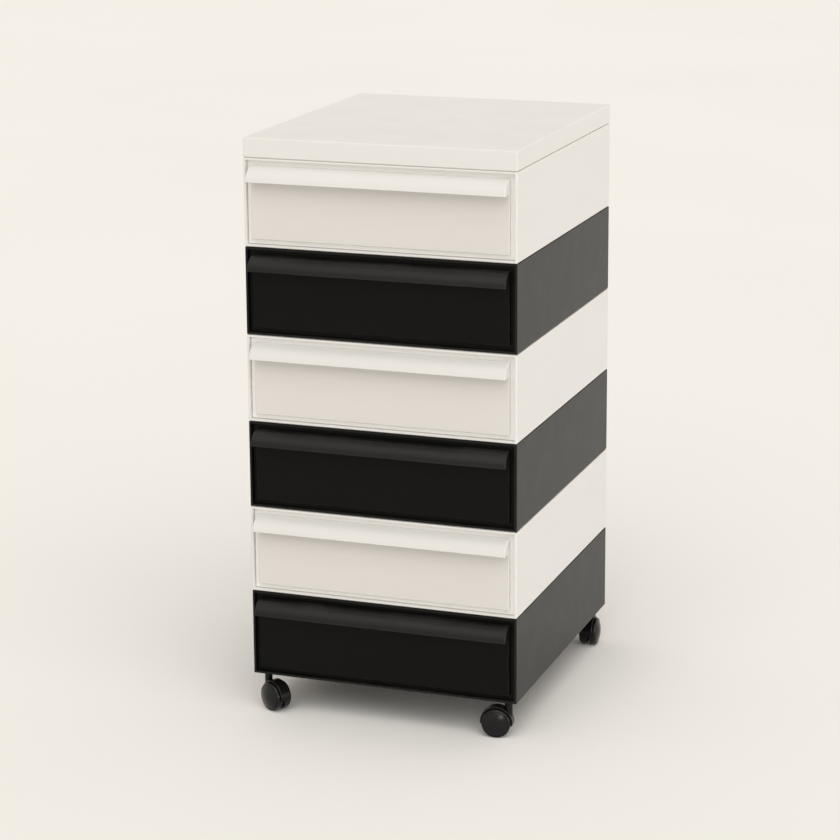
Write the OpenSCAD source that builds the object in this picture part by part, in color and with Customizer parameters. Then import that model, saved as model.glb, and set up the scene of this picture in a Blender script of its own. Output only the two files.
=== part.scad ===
// Drawer tower: six stacked moulded casings with drawers, a lid, and four twin-wheel casters.
// Origin: on the floor, at the centre of the footprint, handles included. Drawers open towards -Y.

/* [Casing] */
// Outer width of every casing and of the lid
case_w = 345; // [290:1:420]
// Depth of a casing from its front edge to its back
case_d = 393; // [330:1:460]
// Height of a casing, which is also the pitch of the stack
case_h = 109; // [92:1:150]
// Thickness of the sides, top and bottom of a casing
case_wall = 3; // [2:0.1:3.6]
// Thickness of the back of a casing
back_wall = 2.5; // [1.8:0.1:4]
// Rounding of the outer edges of casings and lid
edge_r = 1.3; // [0.5:0.1:1.8]
// Height of the fine step round a casing's top, which shows as a line at every seam
seam_h = 0.8; // [0.4:0.1:1.2]
// How far that step goes in from the outer faces
seam_d = 2; // [1.4:0.1:2.4]

/* [Lid] */
// Height of the lid
lid_h = 24; // [18:1:40]
// Thickness of the lid's top and skirt
lid_wall = 3; // [2:0.1:4]
// Thickness of the stiffening ribs under the lid
lid_rib_t = 1.8; // [1.2:0.1:3]
// Widest bay between two ribs under the lid
lid_bay = 68; // [50:1:90]

/* [Drawer front] */
// Gap between the casing's opening and the flange of the front
front_gap = 0.5; // [0.3:0.1:2]
// How far the flange lies behind the casing's front edge
front_recess = 5; // [3:0.1:7]
// Wall thickness of the front moulding
front_wall = 2.5; // [1.8:0.1:3]
// Width of the sunk channel that frames the raised panel
channel_w = 5.8; // [4:0.1:9]
// Rounding of the raised panel's edges
panel_r = 1.2; // [0.4:0.1:1.6]
// Thickness of the stiffening ribs behind the panel
panel_rib_t = 1.6; // [1:0.1:2.4]

/* [Handle] */
// How far the hood stands out from the panel
hood_reach = 17; // [14:0.5:24]
// Drop from the hood's root to its lip
hood_drop = 18; // [15:0.5:26]
// Radius of the hood's outer curve
hood_r = 21; // [20:0.5:32]
// Wall thickness of the hood
hood_wall = 2.2; // [1.6:0.1:3]
// Rounding of the hood's two end edges
hood_end_r = 1; // [0.4:0.1:1.4]
// Radius of the bead along the lip
lip_r = 1.5; // [1.2:0.1:2]
// Height of the strip that seats the handle in the front
strip_h = 14; // [10:0.5:20]

/* [Tray] */
// Wall thickness of the tray
tray_wall = 2; // [1.5:0.1:3]
// Thickness of the tray's floor
tray_floor = 2.2; // [1.5:0.1:3]
// Inner corner radius of the tray
tray_corner_r = 7; // [3:0.5:12]
// Thickness of the tray's sliding rim
rim_t = 2; // [1.5:0.1:3]
// Travel of a drawer from closed to its stop
travel = 300; // [200:5:305]

/* [Runners] */
// How far a runner ledge stands in from the casing's side
ledge_w = 7; // [5:0.1:9]
// Thickness of the runner ledges
ledge_t = 2.5; // [1.8:0.1:3.5]
// Gap between a running face and its neighbour
run_gap = 0.3; // [0.2:0.05:0.5]
// Side clearance of a drawer in its casing
side_gap = 1; // [0.6:0.1:1.4]
// How far the stop ribs stand in from the casing's side
stop_w = 1.8; // [1.5:0.1:2.4]

/* [Pins] */
// Radius of the joining pins and of the caster stems
pin_r = 3; // [2.5:0.1:3.5]
// Distance from the casing's side and back to a pin's axis
pin_inset = 14; // [13:0.5:18]
// Wall around a pin's bore
socket_wall = 2.4; // [2:0.1:2.8]
// Depth of the sockets that stand up from a casing's bottom
socket_h = 10; // [8:0.5:12]
// Depth of the sockets that hang from a casing's top
top_socket_h = 8; // [6:0.5:9]
// Radial clearance of a pin in its bore
pin_gap = 0.05; // [0.02:0.01:0.1]

/* [Casters] */
// Height of the lowest casing above the floor
caster_h = 47; // [46:0.5:60]
// Radius of the wheels
wheel_r = 18; // [15:0.5:18.5]
// Width of a wheel's tread
tread_w = 9.2; // [7:0.1:11]
// Rise of a wheel's domed face over its tread
dome_h = 3.4; // [1.5:0.1:5]
// Radius of the domed face
dome_r = 15.4; // [12:0.1:16]
// Rounding of the tread's shoulders
shoulder_r = 2.2; // [1:0.1:2.5]
// Distance from the stem's axis to the wheels' axle
trail = 14.5; // [12:0.5:18]
// Thickness of the web between the wheels
web_t = 3; // [2:0.1:4]
// Gap between a wheel and the hood around it
wheel_gap = 0.7; // [0.5:0.1:1.5]
// Width of the hood, which covers the inner part of both treads
cover_w = 13.5; // [11:0.5:18]
// Wall thickness of the hood over the wheels
cover_t = 1.7; // [1.4:0.1:2.5]
// Radius of the hood's neck round the stem
neck_r = 4.8; // [4.6:0.1:6]
// Radius of the axle
axle_r = 2; // [1.5:0.1:2.5]
// Swivel of the front left caster
turn_1 = -30; // [-180:1:180]
// Swivel of the front right caster
turn_2 = -173; // [-180:1:180]
// Swivel of the back right caster
turn_3 = -86; // [-180:1:180]
// Swivel of the back left caster
turn_4 = -94; // [-180:1:180]

/* [Hidden] */
$fn = 64;
LEVELS = [1, 2, 3, 4, 5, 6];
CASTERS = [1, 2, 3, 4];
CASTER_PARTS = ["stem", "hood", "axle", "wheel_left", "wheel_right"];

WHITE = "#e4e1d8";
BLACK = "#262527";
STEEL = "#b9babd";
function level_colour(n) = n % 2 == 1 ? WHITE : BLACK;

// Overlap that lets two shapes of one moulding fuse, and that carries a cut clear of a face
FUSE = 0.5;

// Stack
front_y = -(case_d - hood_reach) / 2;
stack_top = caster_h + len(LEVELS) * case_h;
function level_z(n) = caster_h + (len(LEVELS) - n) * case_h;

// Casing
opening_w = case_w - 2 * case_wall;
cavity_d = case_d - back_wall;
socket_r = pin_r + socket_wall;
bore_r = pin_r + pin_gap;
pin_x = case_w / 2 - pin_inset;
pin_front = front_recess + front_wall + side_gap + socket_r;
pin_back = case_d - pin_inset;
PIN_PLACES = [[-pin_x, pin_front], [pin_x, pin_front], [pin_x, pin_back], [-pin_x, pin_back]];

// Front: the flange fills the opening, the panel stands in front of it
front_inset = case_wall + front_gap;
panel_inset = front_inset + channel_w;
flange_back = front_recess + front_wall;
panel_w = case_w - 2 * panel_inset;
panel_h = case_h - 2 * panel_inset;
panel_top = case_h - panel_inset;
flange_r = 1;
boss_wall = 2;
front_ribs = 4;

// Handle: a circle through the root and the lip of the hood
hood_chord = norm([hood_reach, hood_drop]);
hood_sag = sqrt(hood_r * hood_r - hood_chord * hood_chord / 4);
hood_axis_y = -hood_reach / 2 + hood_sag * hood_drop / hood_chord;
hood_axis_z = panel_top - hood_drop / 2 - hood_sag * hood_reach / hood_chord;
lip_z = panel_top - hood_drop;
strip_t = hood_wall;
seat_wall = strip_t + front_wall;
stake_r = 1.8;
stake_places = [for (k = [-1.5, -0.5, 0.5, 1.5]) k * panel_w / 4];
function stake_head(r) = r * 0.45;

// Tray: hung by its rim on the ledges
tray_bottom = case_wall + socket_h + side_gap;
ledge_x = opening_w / 2 - ledge_w;
tray_w = 2 * (ledge_x - side_gap);
rim_top = case_h - case_wall - top_socket_h - side_gap - ledge_t - run_gap;
tray_h = rim_top - tray_bottom;
tray_front = flange_back;
bumper_w = 4;
bumper_d = 2.1;
tray_back = cavity_d - bumper_d - run_gap;
rim_half = opening_w / 2 - stop_w - side_gap / 2;
ear_half = opening_w / 2 - side_gap / 2;
ear_d = 8;
ear_front = tray_back - ear_d;
ledge_front = tray_front + side_gap;
ledge_top = rim_top - rim_t - run_gap;
guide_bottom = rim_top + run_gap;
stop_d = 3;
stop_back = ear_front - travel - run_gap;
post_r = 3;
post_inset = 22;
post_x = tray_w / 2 - post_inset;
post_z = [tray_bottom + post_inset * 0.7, rim_top - post_inset * 0.7];

// Caster
collar_h = 1;
neck_top = caster_h - collar_h - run_gap;
cover_in = wheel_r + wheel_gap;
cover_r = cover_in + cover_t;
tread_in = web_t / 2 + wheel_gap / 2;
cover_half = cover_w / 2;
cover_low = 2;
bore_floor = 1.6;
neck_bore_z = wheel_r + sqrt(pow(cover_in, 2) - pow(trail - pin_r, 2)) + bore_floor;
bead_r = 0.35;
bead_z = neck_bore_z + run_gap + 3;
hub_wall = 2.6;
hub_r = axle_r + hub_wall;
rim_wall = 3;
face_t = 2.4;
groove = 0.7;
wheel_ribs = 6;
wheel_rib_t = 1.2;
axle_half = tread_in + tread_w - 1;
turns = [turn_1, turn_2, turn_3, turn_4];

// A rectangle from the origin with round corners
module round_rect(w, h, r) {
    translate([r, 0]) square([w - 2 * r, h]);
    translate([0, r]) square([w, h - 2 * r]);
    for (x = [r, w - r], y = [r, h - r]) translate([x, y]) circle(r);
}

// A block with all its edges rounded: centred in X, from the origin in Y and Z
module soft_block(w, d, h, r) {
    intersection() {
        translate([-w / 2, 0, 0]) linear_extrude(h) round_rect(w, d, r);
        translate([-w / 2, 0, 0]) rotate([90, 0, 90]) linear_extrude(w) round_rect(d, h, r);
        translate([-w / 2, d, 0]) rotate([90, 0, 0]) linear_extrude(d) round_rect(w, h, r);
    }
}

// A block centred in X, given by its lowest Y and Z
module block(w, y, z, d, h) {
    translate([-w / 2, y, z]) cube([w, d, h]);
}

// Its children on both sides, mirrored across the middle
module both_sides() {
    children();
    mirror([1, 0, 0]) children();
}

// A cylinder along +Y from the given place
module rod_y(x, y, z, r, length) {
    translate([x, y, z]) rotate([-90, 0, 0]) cylinder(h = length, r = r);
}

// A post along +Y whose end is staked over into a low round head
module staked_post(x, y, z, r, length) {
    head_h = stake_head(r);
    translate([x, y, z]) rotate([-90, 0, 0]) rotate_extrude() {
        square([r, length]);
        translate([0, length - head_h]) square([r * 1.35, head_h / 2]);
        translate([0, length - head_h / 2]) square([r * 1.15, head_h / 2]);
    }
}

// A pin along +Z with chamfered ends
module chamfered_pin(length, r) {
    chamfer = r / 4;
    rotate_extrude() polygon([[0, 0], [r - chamfer, 0], [r, chamfer], [r, length - chamfer],
        [r - chamfer, length], [0, length]]);
}

// Ledge, guide and stop along one side of a casing; the drawer's rim runs between the first two
module runner() {
    inner = opening_w / 2;
    translate([ledge_x, ledge_front, ledge_top - ledge_t])
        cube([ledge_w + FUSE, cavity_d + FUSE - ledge_front, ledge_t]);
    translate([ledge_x, ledge_front, guide_bottom])
        cube([ledge_w + FUSE, cavity_d + FUSE - ledge_front, ledge_t]);
    translate([inner - stop_w, stop_back - stop_d, ledge_top - FUSE])
        cube([stop_w + FUSE, stop_d, guide_bottom - ledge_top + 2 * FUSE]);
}

// The step that is cut round the top edge of a casing
module seam_step() {
    difference() {
        block(case_w + 2 * FUSE, -FUSE, case_h - seam_h, case_d + 2 * FUSE, seam_h + FUSE);
        block(case_w - 2 * seam_d, seam_d, 0, case_d - 2 * seam_d, case_h + 2 * FUSE);
    }
}

module casing(n) {
    color(level_colour(n)) translate([0, front_y, level_z(n)]) difference() {
        union() {
            difference() {
                soft_block(case_w, case_d, case_h, edge_r);
                block(opening_w, -FUSE, case_wall, cavity_d + FUSE, case_h - 2 * case_wall);
            }
            both_sides() runner();
            for (place = PIN_PLACES) translate([place[0], place[1], 0]) {
                translate([0, 0, case_wall / 2]) cylinder(h = case_wall / 2 + socket_h, r = socket_r);
                translate([0, 0, case_h - case_wall - top_socket_h])
                    cylinder(h = case_wall / 2 + top_socket_h, r = socket_r);
            }
            both_sides() translate([opening_w / 4, cavity_d - bumper_d, tray_bottom])
                cube([bumper_w, bumper_d + FUSE, tray_h]);
        }
        seam_step();
        for (place = PIN_PLACES) translate([place[0], place[1], 0]) {
            translate([0, 0, -FUSE]) cylinder(h = case_wall + socket_h + 2 * FUSE, r = bore_r);
            translate([0, 0, case_h - case_wall - top_socket_h - FUSE])
                cylinder(h = case_wall + top_socket_h + 2 * FUSE, r = bore_r);
        }
    }
}

// Places of the ribs that share out a length so that no bay is wider than lid_bay
function rib_places(length) = let (bays = ceil(length / lid_bay))
    [for (k = [1 : bays - 1]) (k / bays - 0.5) * length];

module lid() {
    inner_w = case_w - 2 * lid_wall;
    inner_d = case_d - 2 * lid_wall;
    hollow_h = lid_h - lid_wall;
    pin_depth = case_wall + socket_h;
    color(WHITE) translate([0, front_y, stack_top]) difference() {
        soft_block(case_w, case_d, lid_h, edge_r);
        difference() {
            block(inner_w, lid_wall, -FUSE, inner_d, hollow_h + FUSE);
            for (x = rib_places(inner_w))
                translate([x - lid_rib_t / 2, 0, 0]) cube([lid_rib_t, case_d, hollow_h + FUSE]);
            for (y = rib_places(inner_d))
                block(case_w, case_d / 2 + y - lid_rib_t / 2, 0, lid_rib_t, hollow_h + FUSE);
            for (place = PIN_PLACES)
                translate([place[0], place[1], 0]) cylinder(h = hollow_h + FUSE, r = socket_r);
        }
        for (place = PIN_PLACES)
            translate([place[0], place[1], -FUSE]) cylinder(h = pin_depth + FUSE, r = bore_r);
    }
}

// Four pins in every seam, from the casing below into the casing or lid above
module joining_pins() {
    below = case_wall + top_socket_h - run_gap;
    above = case_wall + socket_h - run_gap;
    color(STEEL) for (n = LEVELS, place = PIN_PLACES)
        translate([place[0], front_y + place[1], level_z(n) + case_h - below])
            chamfered_pin(below + above, pin_r);
}

module tray(n) {
    inner_w = tray_w - 2 * tray_wall;
    inner_d = tray_back - tray_front - 2 * tray_wall;
    outer_r = tray_corner_r + tray_wall;
    color(level_colour(n)) translate([0, front_y, level_z(n)]) difference() {
        union() {
            translate([-tray_w / 2, tray_front, tray_bottom]) linear_extrude(tray_h) {
                round_rect(tray_w, tray_back - tray_front, outer_r);
                square([tray_w, outer_r]);
            }
            both_sides() {
                translate([tray_w / 2 - tray_wall, tray_front, rim_top - rim_t])
                    cube([rim_half - tray_w / 2 + tray_wall, ear_front + FUSE - tray_front, rim_t]);
                translate([tray_w / 2 - outer_r, ear_front, rim_top - rim_t])
                    cube([ear_half - tray_w / 2 + outer_r, ear_d, rim_t]);
            }
        }
        intersection() {
            translate([-inner_w / 2, tray_front + tray_wall, tray_bottom + tray_floor])
                linear_extrude(tray_h) round_rect(inner_w, inner_d, tray_corner_r);
            translate([0, tray_front + tray_wall, tray_bottom + tray_floor])
                soft_block(inner_w, inner_d, 2 * tray_h, tray_corner_r / 2);
        }
        for (x = [-post_x, post_x], z = post_z)
            rod_y(x, tray_front - FUSE, z, post_r + pin_gap, tray_wall + 2 * FUSE);
    }
}

module front(n) {
    flange_w = case_w - 2 * front_inset;
    flange_h = case_h - 2 * front_inset;
    hollow_w = panel_w - 2 * front_wall;
    hollow_h = panel_h - 2 * front_wall;
    hollow_z = panel_inset + front_wall;
    rib_h = hollow_h + 2 * FUSE;
    rib_d = flange_back - front_wall / 2 - run_gap;
    seat_z = panel_top - strip_h;
    post_l = tray_front + tray_wall - front_wall + stake_head(post_r);
    color(level_colour(n)) translate([0, front_y, level_z(n)]) difference() {
        union() {
            difference() {
                union() {
                    translate([-flange_w / 2, flange_back, front_inset]) rotate([90, 0, 0])
                        linear_extrude(front_wall) round_rect(flange_w, flange_h, flange_r);
                    translate([0, 0, panel_inset])
                        soft_block(panel_w, flange_back - FUSE, panel_h, panel_r);
                }
                block(hollow_w, front_wall, hollow_z, flange_back, hollow_h);
            }
            block(hollow_w + FUSE, front_wall, seat_z - front_wall, seat_wall - front_wall,
                strip_h + front_wall - FUSE);
            for (k = [1 : front_ribs]) translate([(k / (front_ribs + 1) - 0.5) * hollow_w, 0, 0])
                block(panel_rib_t, front_wall / 2, hollow_z - FUSE, rib_d, rib_h);
            for (x = [-post_x, post_x], z = post_z) {
                rod_y(x, front_wall / 2, z, post_r + boss_wall, flange_back - front_wall / 2);
                staked_post(x, front_wall, z, post_r, post_l);
            }
        }
        block(panel_w + 2 * FUSE, -FUSE, seat_z, strip_t + FUSE, strip_h + FUSE);
        for (x = stake_places) rod_y(x, 0, panel_top - strip_h / 2, stake_r + pin_gap, seat_wall + FUSE);
    }
}

// The hood is turned about its own axis, so its ends close in round-edged discs
module handle(n) {
    hood_w = panel_w;
    stake_l = seat_wall - strip_t / 2 + stake_head(stake_r);
    color(level_colour(n)) translate([0, front_y, level_z(n)]) {
        intersection() {
            translate([-hood_w / 2, hood_axis_y, hood_axis_z]) rotate([0, 90, 0]) {
                difference() {
                    rotate_extrude() {
                        square([hood_r - hood_end_r, hood_w]);
                        translate([0, hood_end_r]) square([hood_r, hood_w - 2 * hood_end_r]);
                        for (x = [hood_end_r, hood_w - hood_end_r])
                            translate([hood_r - hood_end_r, x]) circle(hood_end_r);
                    }
                    translate([0, 0, hood_wall])
                        cylinder(h = hood_w - 2 * hood_wall, r = hood_r - hood_wall);
                }
            }
            block(hood_w, -hood_reach, lip_z, hood_reach, hood_drop);
        }
        intersection() {
            block(hood_w - hood_wall, -hood_reach, lip_z, hood_reach, hood_drop);
            translate([-hood_w / 2 + hood_wall / 2, lip_r - hood_reach, lip_z + lip_r / 2])
                rotate([0, 90, 0]) cylinder(h = hood_w - hood_wall, r = lip_r);
        }
        block(hood_w, 0, panel_top - strip_h, strip_t, strip_h);
        for (x = stake_places)
            staked_post(x, strip_t / 2, panel_top - strip_h / 2, stake_r, stake_l);
    }
}

// Draws its children in a caster's own frame: the stem's axis is Z, the wheels trail towards +X
module caster_frame(c) {
    place = PIN_PLACES[c - 1];
    translate([place[0], front_y + place[1], 0]) rotate([0, 0, turns[c - 1]]) children();
}

// Turns a profile of radius and width about the axle
module on_axle() {
    translate([trail, 0, wheel_r]) rotate([-90, 0, 0]) rotate_extrude() children();
}

module caster_stem(c) {
    socket_top = caster_h + case_wall + socket_h - run_gap;
    bottom = neck_bore_z + run_gap;
    color(STEEL) caster_frame(c) {
        translate([0, 0, bottom]) chamfered_pin(socket_top - bottom, pin_r);
        translate([0, 0, caster_h - collar_h]) cylinder(h = collar_h, r = neck_r);
        translate([0, 0, bead_z]) rotate_extrude() translate([pin_r, 0]) circle(bead_r);
    }
}

module caster_hood(c) {
    web_low = hub_r + cover_low / 2;
    color(BLACK) caster_frame(c) difference() {
        union() {
            intersection() {
                on_axle() {
                    translate([cover_in, -cover_half])
                        square([cover_t - shoulder_r / 2, 2 * cover_half]);
                    translate([cover_in, -cover_half + shoulder_r / 2])
                        square([cover_t, 2 * cover_half - shoulder_r]);
                    for (side = [-1, 1])
                        translate([cover_r - shoulder_r / 2, side * (cover_half - shoulder_r / 2)])
                            circle(shoulder_r / 2);
                }
                translate([trail - cover_r, -cover_half, wheel_r - cover_low])
                    cube([2 * cover_r, 2 * cover_half, cover_r + cover_low]);
            }
            intersection() {
                on_axle() translate([0, -web_t / 2]) square([cover_in + FUSE, web_t]);
                translate([trail - cover_r, -web_t / 2, wheel_r - web_low])
                    cube([2 * cover_r, web_t, cover_r + web_low]);
            }
            difference() {
                translate([0, 0, wheel_r + neck_r])
                    cylinder(h = neck_top - wheel_r - neck_r, r = neck_r);
                on_axle() translate([0, -cover_w]) square([cover_in, 2 * cover_w]);
            }
        }
        translate([0, 0, neck_bore_z]) cylinder(h = neck_top, r = pin_r + pin_gap);
        translate([0, 0, bead_z]) rotate_extrude() translate([pin_r, 0]) circle(bead_r + 2 * pin_gap);
        on_axle() translate([0, -web_t]) square([axle_r, 2 * web_t]);
    }
}

module caster_axle(c) {
    color(STEEL) caster_frame(c) translate([trail, -axle_half, wheel_r])
        rotate([-90, 0, 0]) chamfered_pin(2 * axle_half, axle_r);
}

// A cup-shaped wheel with a domed outer face; side is -1 or 1 along the axle
module caster_wheel(c, side) {
    outer = tread_in + tread_w;
    cup_depth = tread_w - face_t;
    cup_r = wheel_r - rim_wall;
    dome_sphere = (dome_r * dome_r + dome_h * dome_h) / (2 * dome_h);
    color(BLACK) caster_frame(c) translate([trail, 0, wheel_r]) rotate([-90 * side, 0, 0]) difference() {
        union() {
            rotate_extrude() difference() {
                union() {
                    translate([0, tread_in]) square([wheel_r - shoulder_r, tread_w]);
                    translate([0, tread_in + shoulder_r]) square([wheel_r, tread_w - 2 * shoulder_r]);
                    for (y = [tread_in + shoulder_r, outer - shoulder_r])
                        translate([wheel_r - shoulder_r, y]) circle(shoulder_r);
                    intersection() {
                        translate([0, outer + dome_h - dome_sphere]) circle(dome_sphere, $fn = 256);
                        translate([0, outer - FUSE]) square([dome_r, dome_h + FUSE]);
                    }
                }
                translate([hub_r, tread_in - FUSE]) square([cup_r - hub_r, cup_depth + FUSE]);
                translate([dome_r, outer - groove]) square([groove, 2 * groove]);
            }
            for (k = [1 : wheel_ribs]) rotate([0, 0, k * 360 / wheel_ribs])
                translate([hub_r - FUSE, -wheel_rib_t / 2, tread_in + rim_wall / 3])
                    cube([cup_r - hub_r + 2 * FUSE, wheel_rib_t, cup_depth - rim_wall / 3 + FUSE]);
        }
        cylinder(h = axle_half + run_gap, r = axle_r + pin_gap);
    }
}

lid();
joining_pins();
for (n = LEVELS) {
    casing(n);
    tray(n);
    front(n);
    handle(n);
}
for (c = CASTERS) {
    caster_stem(c);
    caster_hood(c);
    caster_axle(c);
    caster_wheel(c, -1);
    caster_wheel(c, 1);
}
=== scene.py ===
"""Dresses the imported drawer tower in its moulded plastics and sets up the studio.

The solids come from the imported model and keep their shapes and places. This file gives each
of them a finish, adds the marks that the moulds leave on the trays' floors, and makes the
floor, the lamps and the camera. Lengths are in metres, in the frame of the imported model.
"""

from __future__ import annotations

import logging
import math
from dataclasses import dataclass, field
from enum import Enum

import bmesh
import bpy
from mathutils import Matrix, Vector

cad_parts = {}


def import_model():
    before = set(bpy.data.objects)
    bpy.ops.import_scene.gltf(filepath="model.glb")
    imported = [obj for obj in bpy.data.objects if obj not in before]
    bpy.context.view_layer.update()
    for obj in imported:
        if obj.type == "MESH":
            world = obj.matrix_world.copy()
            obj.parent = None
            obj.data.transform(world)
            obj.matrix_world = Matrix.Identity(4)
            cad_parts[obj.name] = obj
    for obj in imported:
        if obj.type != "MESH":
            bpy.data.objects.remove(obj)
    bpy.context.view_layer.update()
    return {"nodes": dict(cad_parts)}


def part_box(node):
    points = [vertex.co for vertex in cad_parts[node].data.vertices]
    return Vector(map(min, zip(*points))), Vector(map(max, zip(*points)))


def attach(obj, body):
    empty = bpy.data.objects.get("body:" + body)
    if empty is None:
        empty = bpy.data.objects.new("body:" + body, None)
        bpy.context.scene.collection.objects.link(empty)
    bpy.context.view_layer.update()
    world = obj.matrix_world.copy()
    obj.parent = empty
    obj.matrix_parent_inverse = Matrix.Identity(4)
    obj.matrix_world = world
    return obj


LOG = logging.getLogger("drawer_tower")
LEVELS = (1, 2, 3, 4, 5, 6)
CASTERS = (1, 2, 3, 4)

Colour = tuple[float, float, float, float]
Place = tuple[float, float, float]
Band = tuple[float, float]


def tint(written: str) -> Colour:
    """Turns a colour written as on a screen into the linear colour of a shader.

    Args:
        written: Six hexadecimal digits, red first.

    Returns:
        Red, green, blue and an alpha of 1.
    """
    shares = [int(written[i : i + 2], 16) / 255 for i in (0, 2, 4)]
    red, green, blue = (
        s / 12.92 if s <= 0.04045 else ((s + 0.055) / 1.055) ** 2.4 for s in shares
    )
    return red, green, blue, 1.0


class Tone(Enum):
    """The two colours in which the levels of the tower alternate."""

    WHITE = "white"
    BLACK = "black"

    @classmethod
    def of_level(cls, level: int) -> Tone:
        """White for the odd levels, counted from the top, and black for the even ones."""
        return cls.WHITE if level % 2 else cls.BLACK


@dataclass(frozen=True)
class Box:
    """The box that a moulding's edges follow, with heights counted from its level's foot."""

    low: Place
    high: Place


# A box far outside the tower, for the pieces whose edges show no rubbing and no painted edge
# highlight.
NO_EDGES = Box((-1.0, -1.0, -1.0), (1.0, 1.0, 1.0))


@dataclass(frozen=True)
class LevelSizes:
    """The sizes that all levels share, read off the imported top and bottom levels."""

    stack_foot: float
    pitch: float
    casing: Box
    tray: Box
    panel: Box
    hood: Box
    flange_y: float
    tray_rim: float = 0.0075
    flange_depth: float = 0.0042

    @classmethod
    def from_frame(cls) -> LevelSizes:
        """Reads the boxes of the mouldings.

        Returns:
            The sizes. The panel is as wide as the hood and ends at its top, the tray's box
            leaves out its rim, and the flange starts at a depth behind the panel's face.
        """
        casing_low, casing_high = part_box(f"casing_{LEVELS[0]}")
        tray_low, tray_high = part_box(f"tray_{LEVELS[0]}")
        hood_low, hood_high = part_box(f"handle_{LEVELS[0]}")
        face_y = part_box(f"front_{LEVELS[0]}")[0].y
        foot, pitch = casing_low.z, casing_high.z - casing_low.z
        panel_top = hood_high.z - foot
        return cls(
            stack_foot=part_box(f"casing_{LEVELS[-1]}")[0].z,
            pitch=pitch,
            casing=Box((casing_low.x, casing_low.y, 0.0), (casing_high.x, casing_high.y, pitch)),
            tray=Box(
                (tray_low.x + cls.tray_rim, tray_low.y, tray_low.z - foot),
                (tray_high.x - cls.tray_rim, tray_high.y, tray_high.z - foot),
            ),
            panel=Box((hood_low.x, face_y, pitch - panel_top), (hood_high.x, tray_low.y, panel_top)),
            hood=Box((hood_low.x, hood_low.y, hood_low.z - foot), (hood_high.x, face_y, panel_top)),
            flange_y=face_y + cls.flange_depth,
        )


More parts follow.
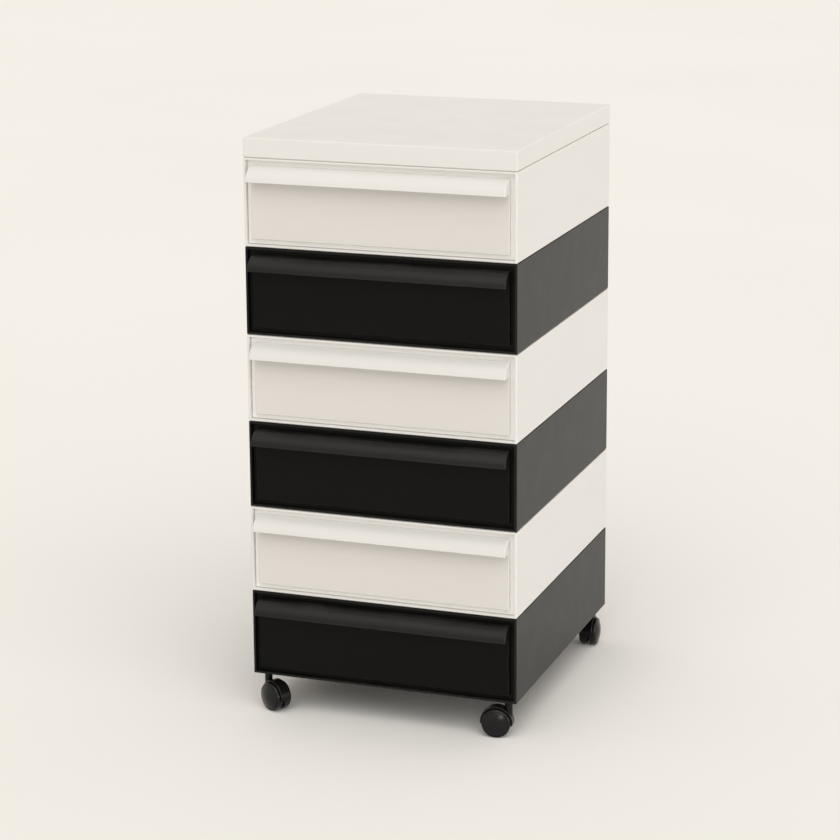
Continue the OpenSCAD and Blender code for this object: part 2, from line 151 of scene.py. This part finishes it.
class Graph:
    """A node tree with short calls for the nodes that the finishes use."""

    def __init__(self, tree: bpy.types.NodeTree) -> None:
        """Starts on an emptied tree."""
        self.tree = tree
        tree.nodes.clear()

    def add(self, kind: str, **settings: object) -> bpy.types.Node:
        """Adds a node.

        Args:
            kind: The node's type name.
            **settings: Properties to set on it.

        Returns:
            The new node.
        """
        node = self.tree.nodes.new(kind)
        for name, value in settings.items():
            setattr(node, name, value)
        return node

    def feed(self, socket: bpy.types.NodeSocket, value: object) -> None:
        """Links another socket into a socket, or sets a plain value on it.

        Args:
            socket: The input to feed.
            value: An output of another node, or a plain value.
        """
        if isinstance(value, bpy.types.NodeSocket):
            self.tree.links.new(value, socket)
        else:
            socket.default_value = value

    def maths(self, operation: str, *values: object, clamp: bool = False) -> bpy.types.NodeSocket:
        """Adds a Math node.

        Args:
            operation: What it does.
            *values: The values it works on, as numbers or sockets.
            clamp: Whether the result is held between 0 and 1.

        Returns:
            The result.
        """
        node = self.add("ShaderNodeMath", operation=operation, use_clamp=clamp)
        for socket, value in zip(node.inputs, values):
            self.feed(socket, value)
        return node.outputs[0]

    def vectors(self, operation: str, *values: object) -> bpy.types.NodeSocket:
        """Adds a Vector Math node.

        Args:
            operation: What it does.
            *values: The vectors it works on, written out or as sockets.

        Returns:
            The resulting vector.
        """
        node = self.add("ShaderNodeVectorMath", operation=operation)
        for socket, value in zip(node.inputs, values):
            self.feed(socket, value)
        return node.outputs[0]

    def parts(self, vector: bpy.types.NodeSocket) -> bpy.types.NodeOutputs:
        """Splits a vector.

        Args:
            vector: The vector to split.

        Returns:
            Its X, Y and Z sockets.
        """
        node = self.add("ShaderNodeSeparateXYZ")
        self.feed(node.inputs[0], vector)
        return node.outputs

    def place(self) -> bpy.types.NodeSocket:
        """Adds the Object coordinates and returns them."""
        return self.add("ShaderNodeTexCoord").outputs["Object"]

    def noise(self, place: bpy.types.NodeSocket, scale: object, detail: float) -> bpy.types.NodeSocket:
        """Adds a Noise Texture at a place and returns its value.

        Args:
            place: The coordinates it is read at.
            scale: Features to a metre, as a number or a socket.
            detail: How many finer layers it has.

        Returns:
            A value around 0.5.
        """
        node = self.add("ShaderNodeTexNoise")
        self.feed(node.inputs["Vector"], place)
        self.feed(node.inputs["Scale"], scale)
        node.inputs["Detail"].default_value = detail
        return node.outputs["Fac"]

    def spread(
        self, value: object, low: object, high: object, to_low: float = 0.0, to_high: float = 1.0
    ) -> bpy.types.NodeSocket:
        """Maps low to high smoothly onto a new range, and holds it outside.

        Args:
            value: The value to map.
            low: Where the value's range starts.
            high: Where it ends.
            to_low: What low becomes.
            to_high: What high becomes.

        Returns:
            The mapped value.
        """
        node = self.add("ShaderNodeMapRange", interpolation_type="SMOOTHSTEP")
        for name, given in (
            ("Value", value),
            ("From Min", low),
            ("From Max", high),
            ("To Min", to_low),
            ("To Max", to_high),
        ):
            self.feed(node.inputs[name], given)
        return node.outputs["Result"]

    def blend(self, share: object, first: object, second: object) -> bpy.types.NodeSocket:
        """Mixes two colours.

        Args:
            share: How much of the second one there is.
            first: The colour at a share of 0.
            second: The colour at a share of 1.

        Returns:
            The mixed colour.
        """
        node = self.add("ShaderNodeMix", data_type="RGBA")
        self.feed(node.inputs[0], share)
        self.feed(node.inputs[6], first)
        self.feed(node.inputs[7], second)
        return node.outputs[2]

    def bump(self, height: bpy.types.NodeSocket, depth: float) -> bpy.types.NodeSocket:
        """Adds a Bump node.

        Args:
            height: The height, which goes from 0 to about 1.
            depth: The real depth of a height of 1.

        Returns:
            The bent normal.
        """
        node = self.add("ShaderNodeBump")
        node.inputs["Distance"].default_value = depth
        self.feed(node.inputs["Height"], height)
        return node.outputs["Normal"]

    def group(self, tree: bpy.types.NodeTree, **values: object) -> bpy.types.Node:
        """Places a node group and sets its inputs.

        Args:
            tree: The group's tree.
            **values: Values by the input's name, in small letters and with _ for a space.

        Returns:
            The group's node.
        """
        node = self.add("ShaderNodeGroup", node_tree=tree)
        for name, value in values.items():
            self.feed(node.inputs[name.replace("_", " ").title()], value)
        return node

    def output(self, surface: bpy.types.NodeSocket) -> None:
        """Makes a shader the material's surface."""
        self.feed(self.add("ShaderNodeOutputMaterial").inputs["Surface"], surface)


class EffectGroup:
    """A shader node group in the making, with named inputs and outputs."""

    def __init__(self, name: str, inputs: dict[str, float | Place], outputs: tuple[str, ...]) -> None:
        """Makes the empty group.

        Args:
            name: The group's name.
            inputs: Input names and their default values, a number or a vector.
            outputs: Names of the masks and values it puts out.
        """
        self.tree = bpy.data.node_groups.new(name, "ShaderNodeTree")
        for label, value in inputs.items():
            kind = "NodeSocketVector" if isinstance(value, tuple) else "NodeSocketFloat"
            socket = self.tree.interface.new_socket(label, in_out="INPUT", socket_type=kind)
            socket.default_value = value
        for label in outputs:
            self.tree.interface.new_socket(label, in_out="OUTPUT", socket_type="NodeSocketFloat")
        self.graph = Graph(self.tree)
        self.given = self.graph.add("NodeGroupInput").outputs
        self.result = self.graph.add("NodeGroupOutput").inputs
        self.place = self.graph.place()


@dataclass(frozen=True)
class MouldedGrain:
    """Fine spark-eroded mould grain, and the slow ripple and flow of a big moulding."""

    grain: float = 1800.0
    ripple: float = 9.0
    ripple_share: float = 0.35
    flow_stretch: Place = (5.0, 5.0, 22.0)
    flow_band: Band = (0.32, 0.68)

    def build(self) -> bpy.types.NodeTree:
        """Builds the group.

        Returns:
            A group with a Height for bump and a Flow mask for colour.
        """
        inputs = {"Grain": self.grain, "Ripple": self.ripple, "Ripple Share": self.ripple_share}
        effect = EffectGroup("Moulded Grain", inputs, ("Height", "Flow"))
        g, given = effect.graph, effect.given
        fine = g.noise(effect.place, given["Grain"], detail=2.0)
        slow = g.noise(effect.place, given["Ripple"], detail=1.0)
        lifted = g.maths("MULTIPLY", slow, given["Ripple Share"])
        g.feed(effect.result["Height"], g.maths("ADD", fine, lifted))
        streaked = g.vectors("MULTIPLY", effect.place, self.flow_stretch)
        flow = g.noise(streaked, scale=1.0, detail=4.0)
        g.feed(effect.result["Flow"], g.spread(flow, *self.flow_band))
        return effect.tree


@dataclass(frozen=True)
class EdgeRubAndHighlight:
    """Rubbing along the edges of a box that repeats up the tower once a level; the lighter edge colour
    it places is partly real wear and partly a painted highlight.
    """

    width: float = 0.002
    patch: float = 55.0
    patch_band: Band = (0.42, 0.6)

    def build(self) -> bpy.types.NodeTree:
        """Builds the group.

        Returns:
            A group whose Rub is 1 on the edges and fades to 0 at the given width.
        """
        inputs = {
            "Low": NO_EDGES.low,
            "High": NO_EDGES.high,
            "Foot": 0.0,
            "Pitch": 1.0,
            "Width": self.width,
        }
        effect = EffectGroup("Edge Rub And Highlight", inputs, ("Rub",))
        g, given = effect.graph, effect.given
        x, y, z = g.parts(effect.place)
        local = g.add("ShaderNodeCombineXYZ")
        above_foot = g.maths("SUBTRACT", z, given["Foot"])
        in_level = g.maths("FLOORED_MODULO", above_foot, given["Pitch"])
        for socket, value in zip(local.inputs, (x, y, in_level)):
            g.feed(socket, value)
        from_low = g.vectors("ABSOLUTE", g.vectors("SUBTRACT", local.outputs[0], given["Low"]))
        from_high = g.vectors("ABSOLUTE", g.vectors("SUBTRACT", given["High"], local.outputs[0]))
        a, b, c = g.parts(g.vectors("MINIMUM", from_low, from_high))
        nearer = g.maths("MINIMUM", a, b)
        farther = g.maths("MAXIMUM", a, b)
        from_edge = g.maths("MAXIMUM", nearer, g.maths("MINIMUM", farther, c))
        edge = g.spread(from_edge, 0.0, given["Width"], to_low=1.0, to_high=0.0)
        patches = g.spread(g.noise(effect.place, self.patch, detail=5.0), *self.patch_band)
        g.feed(effect.result["Rub"], g.maths("MULTIPLY", edge, patches))
        return effect.tree


@dataclass(frozen=True)
class SettledDust:
    """Dust that lies on faces that look up, thicker in patches."""

    patch: float = 14.0
    patch_band: Band = (0.38, 0.66)
    patch_share: float = 0.6
    specks: float = 900.0
    speck_band: Band = (0.56, 0.7)
    speck_share: float = 0.4
    level_band: Band = (0.35, 0.95)

    def build(self) -> bpy.types.NodeTree:
        """Builds the group.

        Returns:
            A group whose Dust is 0 on sides and undersides.
        """
        inputs = {"Patch": self.patch, "Specks": self.specks}
        effect = EffectGroup("Settled Dust", inputs, ("Dust",))
        g, given = effect.graph, effect.given
        _, _, up = g.parts(g.add("ShaderNodeTexCoord").outputs["Normal"])
        lies = g.spread(up, *self.level_band)
        patch = g.spread(g.noise(effect.place, given["Patch"], detail=4.0), *self.patch_band)
        specks = g.spread(g.noise(effect.place, given["Specks"], detail=1.0), *self.speck_band)
        film = g.maths("MULTIPLY", patch, self.patch_share)
        both = g.maths("ADD", film, g.maths("MULTIPLY", specks, self.speck_share))
        g.feed(effect.result["Dust"], g.maths("MULTIPLY", lies, both))
        return effect.tree


@dataclass(frozen=True)
class HandSmears:
    """Where hands polish a surface and leave faint smears."""

    size: float = 26.0
    stretch: Place = (0.45, 1.0, 1.0)
    band: Band = (0.45, 0.68)

    def build(self) -> bpy.types.NodeTree:
        """Builds the group.

        Returns:
            A group whose Smear is high in soft patches.
        """
        effect = EffectGroup("Hand Smears", {"Smear Size": self.size}, ("Smear",))
        g = effect.graph
        drawn = g.vectors("MULTIPLY", effect.place, self.stretch)
        soft = g.spread(g.noise(drawn, effect.given["Smear Size"], detail=5.0), *self.band)
        g.feed(effect.result["Smear"], soft)
        return effect.tree


class Effects:
    """The surface effects that several plastics share, each built once as a node group."""

    def __init__(self) -> None:
        """Builds the four groups."""
        self.grain = MouldedGrain().build()
        self.rub_and_highlight = EdgeRubAndHighlight().build()
        self.dust = SettledDust().build()
        self.smears = HandSmears().build()


@dataclass(frozen=True)
class Plastic:
    """One moulded plastic: its colours, sheen, grain and wear, with a lighter edge colour that is
    partly a painted highlight, and on a front a flange painted lighter as painted light.
    """

    slot: str
    body: str
    flow: str
    worn_and_highlight: str
    roughness: float
    specular: float
    box: Box = NO_EDGES
    painted_flange_light: str = ""
    painted_flange_light_blend: float = 0.0006
    grain: float = 1800.0
    grain_depth: float = 0.00003
    ripple_share: float = 0.35
    flow_share: float = 0.5
    rub_width: float = 0.0016
    rub_and_highlight_share: float = 0.5
    rub_gloss: float = 0.08
    dust: str = "cbc4b6"
    dust_share: float = 0.06
    dust_dull: float = 0.15
    smear_gloss: float = 0.02

    def make(self, effects: Effects, sizes: LevelSizes) -> bpy.types.Material:
        """Builds the material.

        Args:
            effects: The shared node groups.
            sizes: The levels' sizes, which place the rubbed edges with their painted highlight and the
                flange's painted light.

        Returns:
            The finished material, named after its slot.
        """
        material = bpy.data.materials.new(self.slot)
        material.use_nodes = True
        g = Graph(material.node_tree)
        shader = g.add("ShaderNodeBsdfPrincipled")
        grain = g.group(effects.grain, grain=self.grain, ripple_share=self.ripple_share)
        rub_and_highlight = g.group(
            effects.rub_and_highlight,
            low=self.box.low,
            high=self.box.high,
            foot=sizes.stack_foot,
            pitch=sizes.pitch,
            width=self.rub_width,
        ).outputs["Rub"]
        dust = g.group(effects.dust).outputs["Dust"]
        smear = g.group(effects.smears).outputs["Smear"]
        flowed = g.maths("MULTIPLY", grain.outputs["Flow"], self.flow_share)
        colour = g.blend(flowed, tint(self.body), tint(self.flow))
        # Painted light: the flange round a front's panel is painted lighter, standing in for the light
        # that reaches the recess.
        if self.painted_flange_light:
            colour = g.blend(self._painted_flange_light_mask(g, sizes), colour, tint(self.painted_flange_light))
        # The lighter worn colour on the edges is partly real edge wear and partly a painted highlight
        # on the rounded edges.
        colour = g.blend(g.maths("MULTIPLY", rub_and_highlight, self.rub_and_highlight_share), colour, tint(self.worn_and_highlight))
        colour = g.blend(g.maths("MULTIPLY", dust, self.dust_share), colour, tint(self.dust))
        g.feed(shader.inputs["Base Color"], colour)
        g.feed(shader.inputs["Roughness"], self._rough(g, rub_and_highlight, dust, smear))
        shader.inputs["Specular IOR Level"].default_value = self.specular
        g.feed(shader.inputs["Normal"], g.bump(grain.outputs["Height"], self.grain_depth))
        g.output(shader.outputs[0])
        return material

    def _painted_flange_light_mask(self, g: Graph, sizes: LevelSizes) -> bpy.types.NodeSocket:
        """Returns the mask of painted light: 1 on a front's flange, which is painted lighter, and 0 on
        its panel.
        """
        _, y, _ = g.parts(g.place())
        return g.spread(y, sizes.flange_y - self.painted_flange_light_blend, sizes.flange_y + self.painted_flange_light_blend)

    def _rough(
        self,
        g: Graph,
        rub_and_highlight: bpy.types.NodeSocket,
        dust: bpy.types.NodeSocket,
        smear: bpy.types.NodeSocket,
    ) -> bpy.types.NodeSocket:
        """Works out the roughness, duller under dust and glossier where hands and rubbing polish.

        Args:
            g: The material's graph.
            rub_and_highlight: The mask of rubbed edges, whose lighter colour is partly a painted
                highlight.
            dust: The mask of dust.
            smear: The mask of hand smears.

        Returns:
            The roughness.
        """
        polished = g.maths("MULTIPLY", smear, -self.smear_gloss)
        dulled = g.maths("MULTIPLY", dust, self.dust_dull)
        rough = g.maths("ADD", g.maths("ADD", polished, dulled), self.roughness)
        return g.maths("SUBTRACT", rough, g.maths("MULTIPLY", rub_and_highlight, self.rub_gloss))


@dataclass(frozen=True)
class TurnedSteel:
    """Plain turned steel, with the fine rings that the tool leaves."""

    slot: str = "steel"
    body: str = "b9babd"
    ring: str = "8d8f93"
    roughness: float = 0.34
    dulled: float = 0.5
    dull_patch: float = 120.0
    dull_band: Band = (0.35, 0.7)
    rings: float = 2600.0
    ring_stretch: Place = (0.02, 0.02, 1.0)
    ring_band: Band = (0.35, 0.65)
    ring_depth: float = 0.00002

    def make(self) -> bpy.types.Material:
        """Builds the material.

        Returns:
            The finished material.
        """
        material = bpy.data.materials.new(self.slot)
        material.use_nodes = True
        g = Graph(material.node_tree)
        shader = g.add("ShaderNodeBsdfPrincipled")
        place = g.place()
        along = g.vectors("MULTIPLY", place, self.ring_stretch)
        ringed = g.noise(along, self.rings, detail=2.0)
        dull = g.spread(g.noise(place, self.dull_patch, detail=4.0), *self.dull_band)
        colour = g.blend(g.spread(ringed, *self.ring_band), tint(self.body), tint(self.ring))
        g.feed(shader.inputs["Base Color"], colour)
        g.feed(shader.inputs["Roughness"], g.spread(dull, 0.0, 1.0, self.roughness, self.dulled))
        shader.inputs["Metallic"].default_value = 1.0
        g.feed(shader.inputs["Normal"], g.bump(ringed, self.ring_depth))
        g.output(shader.outputs[0])
        return material


@dataclass(frozen=True)
class PaperSheet:
    """The floor's matt paper, a little uneven, which lets the view through from below."""

    name: str = "floor_paper"
    paper: str = "f2f1ee"
    shade: str = "f1f0ec"
    patch: float = 0.7
    patch_band: Band = (0.3, 0.7)

    def make(self) -> bpy.types.Material:
        """Builds the material.

        Returns:
            The finished material.
        """
        material = bpy.data.materials.new(self.name)
        material.use_nodes = True
        g = Graph(material.node_tree)
        patch = g.spread(g.noise(g.place(), self.patch, detail=2.0), *self.patch_band)
        matt = g.add("ShaderNodeBsdfDiffuse")
        g.feed(matt.inputs["Color"], g.blend(patch, tint(self.paper), tint(self.shade)))
        clear = g.add("ShaderNodeBsdfTransparent")
        seen = g.add("ShaderNodeMixShader")
        from_below = g.add("ShaderNodeNewGeometry").outputs["Backfacing"]
        for socket, value in zip(seen.inputs, (from_below, matt.outputs[0], clear.outputs[0])):
            g.feed(socket, value)
        g.output(seen.outputs[0])
        return material


class Wardrobe:
    """All the finishes of the tower, by the record's material slots."""

    def __init__(self, sizes: LevelSizes) -> None:
        """Builds every finish once.

        Args:
            sizes: The levels' sizes.
        """
        effects = Effects()
        plastics = self._whites(sizes) + self._blacks(sizes)
        self.finishes = {p.slot: p.make(effects, sizes) for p in plastics}
        bare = TurnedSteel()
        blackened = TurnedSteel("dark_steel", body="1c1c1d", ring="111112", roughness=0.42)
        for steel in (bare, blackened):
            self.finishes[steel.slot] = steel.make()

    def _whites(self, sizes: LevelSizes) -> tuple[Plastic, ...]:
        """Lists the plastics of the white levels and the lid.

        Args:
            sizes: The levels' sizes.

        Returns:
            The four plastics.
        """
        # The worn colours, lighter than the bodies, are edge wear and partly a painted highlight on
        # the edges.
        return (
            Plastic(
                "white_casing", body="e1e0dd", flow="dfdeda", worn_and_highlight="eeedeb",
                roughness=0.42, specular=0.45, box=sizes.casing,
            ),
            Plastic(
                "white_tray", body="dcd9d1", flow="d8d4cb", worn_and_highlight="e6e3dc",
                roughness=0.52, specular=0.4, box=sizes.tray,
            ),
            Plastic(
                # The flange colour is painted light, much lighter than the panel.
                "white_front", body="dad7d3", flow="d8d5d0", worn_and_highlight="e6e4e0", painted_flange_light="f1f0ed",
                roughness=0.44, specular=0.4, box=sizes.panel,
            ),
            Plastic(
                "white_handle", body="dcdbd8", flow="dad9d5", worn_and_highlight="e9e8e6",
                roughness=0.38, specular=0.36, box=sizes.hood,
            ),
        )

    def _blacks(self, sizes: LevelSizes) -> tuple[Plastic, ...]:
        """Lists the plastics of the black levels and the casters.

        Args:
            sizes: The levels' sizes.

        Returns:
            The six plastics.
        """
        # The lighter worn colour is edge wear and partly a painted highlight on the black edges.
        wear_and_highlight = {"worn_and_highlight": "3a3938", "rub_and_highlight_share": 0.25, "dust": "8f8a82", "dust_share": 0.05}
        return (
            Plastic(
                "black_casing", body="0c0c0c", flow="100f0f",
                roughness=0.36, specular=0.21, box=sizes.casing, **wear_and_highlight,
            ),
            Plastic(
                "black_tray", body="171716", flow="1c1b1a",
                roughness=0.5, specular=0.3, box=sizes.tray, **wear_and_highlight,
            ),
            Plastic(
                "black_front", body="090908", flow="0c0b0b",
                roughness=0.46, specular=0.1, box=sizes.panel, **wear_and_highlight,
            ),
            Plastic(
                "black_handle", body="0c0c0c", flow="101010",
                roughness=0.36, specular=0.25, box=sizes.hood, **wear_and_highlight,
            ),
            Plastic(
                "caster_hood", body="070707", flow="0a0a0a", roughness=0.26, specular=0.22, **wear_and_highlight
            ),
            Plastic(
                "caster_wheel", body="080808", flow="0b0b0b", roughness=0.2, specular=0.3, **wear_and_highlight
            ),
        )

    def dress(self, piece: bpy.types.Object, slot: str) -> None:
        """Puts a finish on every material slot of a piece.

        Args:
            piece: The object to dress.
            slot: The finish's name, as in the record.
        """
        finish = self.finishes[slot]
        if not piece.material_slots:
            piece.data.materials.append(finish)
        for place in piece.material_slots:
            place.material = finish
        LOG.info("%s wears %s", piece.name, slot)


def rest_all() -> None:
    """Leaves edit mode and deselects everything, so that the next operator acts on new work."""
    if bpy.context.mode != "OBJECT":
        bpy.ops.object.mode_set(mode="OBJECT")
    bpy.ops.object.select_all(action="DESELECT")


def select_top(piece: bpy.types.Object, least_up: float = 0.99) -> None:
    """In edit mode, selects just the faces that look straight up.

    Args:
        piece: The mesh object in edit mode.
        least_up: How much of a face's normal has to point up.
    """
    bpy.ops.mesh.select_all(action="DESELECT")
    mesh = bmesh.from_edit_mesh(piece.data)
    for face in mesh.faces:
        face.select_set(face.normal.z > least_up)
    bmesh.update_edit_mesh(piece.data)


@dataclass
class MouldMarks:
    """The ejector rings and the gate pip that the mould leaves on a tray's floor."""

    ring_radius: float = 0.0045
    ring_height: float = 0.0004
    ring_wall: float = 0.0006
    ring_slope: float = 0.0002
    ring_dish: float = 0.00028
    ring_sides: int = 40
    gate_radius: float = 0.0024
    gate_height: float = 0.0008
    gate_neck: float = 0.00108
    gate_tip: float = 0.0004
    gate_sides: int = 32
    edge: float = 0.0001
    sunk: float = 0.0002
    smooth_angle: float = 40.0
    across: tuple[float, ...] = (-0.36, 0.36)
    along: tuple[float, ...] = (-0.38, 0.0, 0.38)

    def stub(self, centre: Vector, radius: float, height: float, sides: int) -> bpy.types.Object:
        """Adds a low round stub that stands on the floor and reaches a little into it.

        Args:
            centre: The point of the floor that it stands on.
            radius: Its radius.
            height: How far it stands out of the floor.
            sides: How many sides its outline has.

        Returns:
            The stub, in edit mode with its top selected.
        """
        rest_all()
        bpy.ops.mesh.primitive_cylinder_add(
            vertices=sides,
            radius=radius,
            depth=height + self.sunk,
            location=centre + Vector((0, 0, (height - self.sunk) / 2)),
        )
        made = bpy.context.object
        bpy.ops.object.mode_set(mode="EDIT")
        bpy.ops.mesh.select_mode(type="FACE")
        select_top(made)
        return made

    def ring(self, centre: Vector) -> bpy.types.Object:
        """Models one low ring with a dished middle.

        Args:
            centre: The point of the floor that it stands on.

        Returns:
            The ring.
        """
        made = self.stub(centre, self.ring_radius, self.ring_height, self.ring_sides)
        bpy.ops.mesh.bevel(offset=self.edge, segments=2)
        select_top(made)
        bpy.ops.mesh.inset(thickness=self.ring_wall)
        bpy.ops.mesh.inset(thickness=self.ring_slope)
        bpy.ops.transform.translate(value=(0, 0, -self.ring_dish))
        bpy.ops.object.mode_set(mode="OBJECT")
        return made

    def gate(self, centre: Vector) -> bpy.types.Object:
        """Models the small pip where the plastic was let in, broken off level.

        Args:
            centre: The point of the floor that it stands on.

        Returns:
            The pip.
        """
        made = self.stub(centre, self.gate_radius, self.gate_height, self.gate_sides)
        bpy.ops.mesh.inset(thickness=self.gate_neck)
        bpy.ops.transform.translate(value=(0, 0, self.gate_tip))
        bpy.ops.mesh.bevel(offset=self.edge, segments=2)
        bpy.ops.object.mode_set(mode="OBJECT")
        return made

    def build(self, low: Vector, high: Vector, floor: float) -> bpy.types.Object:
        """Models all the marks of one tray as a single piece.

        Args:
            low: The tray's lowest corner.
            high: Its highest corner.
            floor: The height of the tray's inner floor.

        Returns:
            The joined piece, at the origin.
        """
        middle, span = (low + high) / 2, high - low
        middle.z = floor
        made = [self.gate(middle)]
        for u in self.across:
            for v in self.along:
                made.append(self.ring(middle + Vector((u * span.x, v * span.y, 0))))
        rest_all()
        for piece in made:
            piece.select_set(True)
        bpy.context.view_layer.objects.active = made[0]
        bpy.ops.object.join()
        joined = bpy.context.object
        bpy.ops.object.transform_apply(location=True, rotation=True, scale=True)
        bpy.ops.object.shade_smooth_by_angle(angle=math.radians(self.smooth_angle))
        rest_all()
        return joined


@dataclass
class DrawerUnit:
    """One level of the tower: a casing and the drawer that slides out of it."""

    level: int
    wardrobe: Wardrobe
    tray_floor: float = 0.0022
    kinds: tuple[str, ...] = ("casing", "tray", "front", "handle")

    @property
    def tone(self) -> Tone:
        """The level's colour."""
        return Tone.of_level(self.level)

    def dress(self, nodes: dict[str, bpy.types.Object]) -> None:
        """Gives the level's four mouldings their finishes."""
        for kind in self.kinds:
            self.wardrobe.dress(nodes[f"{kind}_{self.level}"], f"{self.tone.value}_{kind}")

    def mark(self, pattern: bpy.types.Object, pattern_low: float) -> bpy.types.Object:
        """Copies the mould marks onto this level's tray.

        Args:
            pattern: The marks as modelled for one tray.
            pattern_low: The lowest point of the tray that they were modelled for.

        Returns:
            The copy, with a mesh of its own.
        """
        marks = pattern.copy()
        marks.data = pattern.data.copy()
        marks.name = f"tray_marks_{self.level}"
        bpy.context.scene.collection.objects.link(marks)
        low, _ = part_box(f"tray_{self.level}")
        marks.data.transform(Matrix.Translation((0, 0, low.z - pattern_low)))
        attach(marks, f"drawer_{self.level}")
        f"{self.tone.value}_tray"
        self.wardrobe.dress(marks, f"{self.tone.value}_tray")
        return marks


@dataclass
class Lid:
    """The flat cover over the top casing, and the pins in the seams below it."""

    wardrobe: Wardrobe

    def dress(self, nodes: dict[str, bpy.types.Object]) -> None:
        """Gives the lid and the joining pins their finishes."""
        self.wardrobe.dress(nodes["lid"], "white_casing")
        self.wardrobe.dress(nodes["joining_pins"], "steel")


@dataclass
class Caster:
    """One twin-wheel caster."""

    number: int
    wardrobe: Wardrobe
    finishes: dict[str, str] = field(
        default_factory=lambda: {
            "stem": "dark_steel",
            "axle": "steel",
            "hood": "caster_hood",
            "wheel_left": "caster_wheel",
            "wheel_right": "caster_wheel",
        }
    )

    def dress(self, nodes: dict[str, bpy.types.Object]) -> None:
        """Gives the caster's pieces their finishes."""
        for piece, slot in self.finishes.items():
            self.wardrobe.dress(nodes[f"caster_{self.number}_{piece}"], slot)


@dataclass(frozen=True)
class Lamp:
    """A far lamp: its bearing, height and seeming width in degrees, and its strength."""

    name: str
    azimuth: float
    height: float
    width: float
    strength: float
    distance: float = 4.0

    def hang(self) -> bpy.types.Object:
        """Adds the lamp to the scene.

        Returns:
            The lamp's object.
        """
        azimuth, height = math.radians(self.azimuth), math.radians(self.height)
        across = math.cos(height)
        comes_from = Vector(
            (math.sin(azimuth) * across, -math.cos(azimuth) * across, math.sin(height))
        )
        lamp = bpy.data.lights.new(self.name, "SUN")
        lamp.energy = self.strength
        lamp.angle = math.radians(self.width)
        hung = bpy.data.objects.new(self.name, lamp)
        hung.rotation_mode = "QUATERNION"
        hung.rotation_quaternion = comes_from.to_track_quat("Z", "Y")
        hung.location = comes_from * self.distance
        bpy.context.scene.collection.objects.link(hung)
        return hung


@dataclass
class Studio:
    """The pale floor, the soft lamps and the surrounding light."""

    half: float = 30.0
    cuts: int = 7
    sheet: PaperSheet = PaperSheet()
    backdrop: str = "f5f0e7"
    air: str = "fcf3e8"
    surround: float = 0.5
    lamps: tuple[Lamp, ...] = (
        Lamp("side", azimuth=78.0, height=5.0, width=24.0, strength=0.8),
        Lamp("low_front", azimuth=20.0, height=11.0, width=14.0, strength=0.24),
        Lamp("high_front", azimuth=20.0, height=50.0, width=60.0, strength=1.2),
        Lamp("overhead", azimuth=0.0, height=86.0, width=120.0, strength=0.66),
    )

    def floor(self) -> bpy.types.Object:
        """Lays the floor.

        Returns:
            The floor's object.
        """
        rest_all()
        bpy.ops.mesh.primitive_plane_add(size=2 * self.half)
        laid = bpy.context.object
        laid.name = "floor"
        bpy.ops.object.mode_set(mode="EDIT")
        bpy.ops.mesh.subdivide(number_cuts=self.cuts)
        bpy.ops.object.mode_set(mode="OBJECT")
        laid.data.materials.append(self.sheet.make())
        rest_all()
        return laid

    def light(self) -> None:
        """Hangs the lamps and sets the surrounding light."""
        for lamp in self.lamps:
            lamp.hang()
        self._surround()

    def _surround(self) -> None:
        """Makes the world: soft light for the object, and pale paper for what looks at it."""
        world = bpy.data.worlds.new("studio")
        bpy.context.scene.world = world
        world.use_nodes = True
        g = Graph(world.node_tree)
        path = g.add("ShaderNodeLightPath").outputs
        looks = g.maths("ADD", path["Is Camera Ray"], path["Is Glossy Ray"])
        looks = g.maths("ADD", looks, path["Is Transmission Ray"], clamp=True)
        soft = g.add("ShaderNodeBackground")
        soft.inputs["Color"].default_value = tint(self.air)
        soft.inputs["Strength"].default_value = self.surround
        pale = g.add("ShaderNodeBackground")
        pale.inputs["Color"].default_value = tint(self.backdrop)
        seen = g.add("ShaderNodeMixShader")
        for socket, value in zip(seen.inputs, (looks, soft.outputs[0], pale.outputs[0])):
            g.feed(socket, value)
        g.feed(g.add("ShaderNodeOutputWorld").inputs["Surface"], seen.outputs[0])


@dataclass
class Camera:
    """The camera, at the photograph's angle, with its angles in degrees."""

    azimuth: float = 19.80
    elevation: float = 13.26
    roll: float = -0.37
    distance: float = 3.1673
    target: Place = (0.0516, -0.188, 0.4972)
    film: float = 36.0
    lens: float = 114.26
    shift: float = -0.1
    clip: Band = (0.05, 200.0)

    def place(self) -> bpy.types.Object:
        """Makes the camera and gives it to the scene.

        Returns:
            The camera's object.
        """
        a, e = math.radians(self.azimuth), math.radians(self.elevation)
        back = Vector((math.sin(a) * math.cos(e), -math.cos(a) * math.cos(e), math.sin(e)))
        lens = bpy.data.cameras.new("camera")
        lens.sensor_width = self.film
        lens.lens = self.lens
        lens.shift_y = self.shift
        lens.clip_start, lens.clip_end = self.clip
        made = bpy.data.objects.new("camera", lens)
        turned = back.to_track_quat("Z", "Y").to_matrix() @ Matrix.Rotation(
            math.radians(self.roll), 3, "Z"
        )
        stands = Matrix.Translation(Vector(self.target) + back * self.distance)
        made.matrix_world = stands @ turned.to_4x4()
        bpy.context.scene.collection.objects.link(made)
        bpy.context.scene.camera = made
        return made


def main() -> None:
    """Builds the scene: finishes, mould marks, studio and camera, in that order."""
    logging.basicConfig(level=logging.INFO, format="%(message)s")
    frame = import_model()
    nodes = frame["nodes"]
    bpy.context.scene.view_settings.view_transform = "Standard"
    wardrobe = Wardrobe(LevelSizes.from_frame())
    Lid(wardrobe).dress(nodes)
    units = [DrawerUnit(level, wardrobe) for level in LEVELS]
    low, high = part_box(f"tray_{LEVELS[0]}")
    pattern = MouldMarks().build(low, high, low.z + units[0].tray_floor)
    for unit in units:
        unit.dress(nodes)
        unit.mark(pattern, low.z)
    bpy.data.objects.remove(pattern)
    for number in CASTERS:
        Caster(number, wardrobe).dress(nodes)
    studio = Studio()
    studio.floor()
    studio.light()
    Camera().place()


if __name__ == "__main__":
    main()
